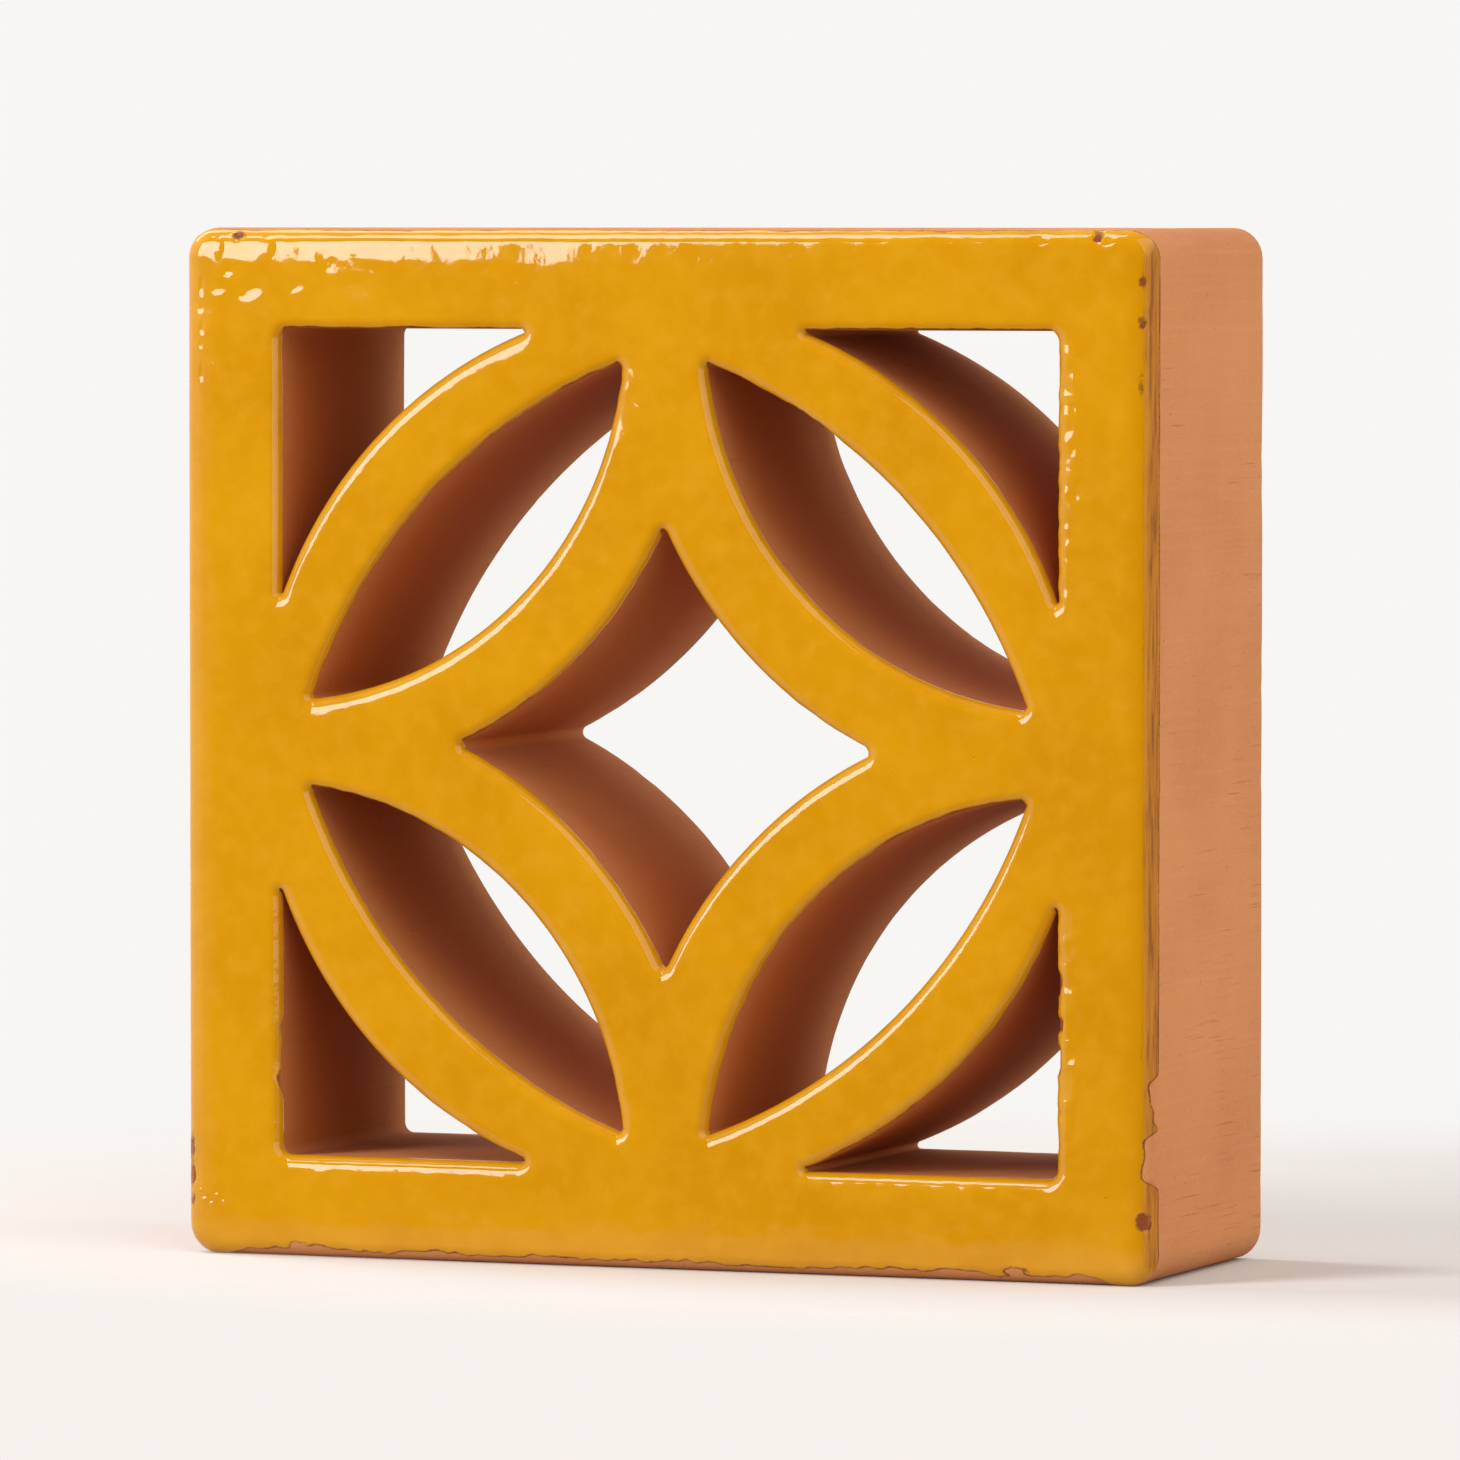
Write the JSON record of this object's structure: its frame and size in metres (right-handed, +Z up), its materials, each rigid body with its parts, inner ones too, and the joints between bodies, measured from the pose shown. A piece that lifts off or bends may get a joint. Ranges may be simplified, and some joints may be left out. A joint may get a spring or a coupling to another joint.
{
  "type": "decorative screen block",
  "caption": "Square fired-clay screen block with a glazed front, pierced right through by a star, leaves and corner openings; it is laid in rows for open walls that let in air and light.",
  "frame": {"origin": "middle of the bottom bed face, which stands on the floor", "axes": "+Z up, +X to the right as seen from the glazed front, +Y from the front to the back"},
  "size_m": [0.2, 0.065, 0.2],
  "materials": {
    "fired_clay": "bare matt fired clay, with a glossy mustard yellow glaze on the front face and over its edges"
  },
  "bodies": {
    "root": {"screen_block": "fired_clay"}
  },
  "joints": []
}
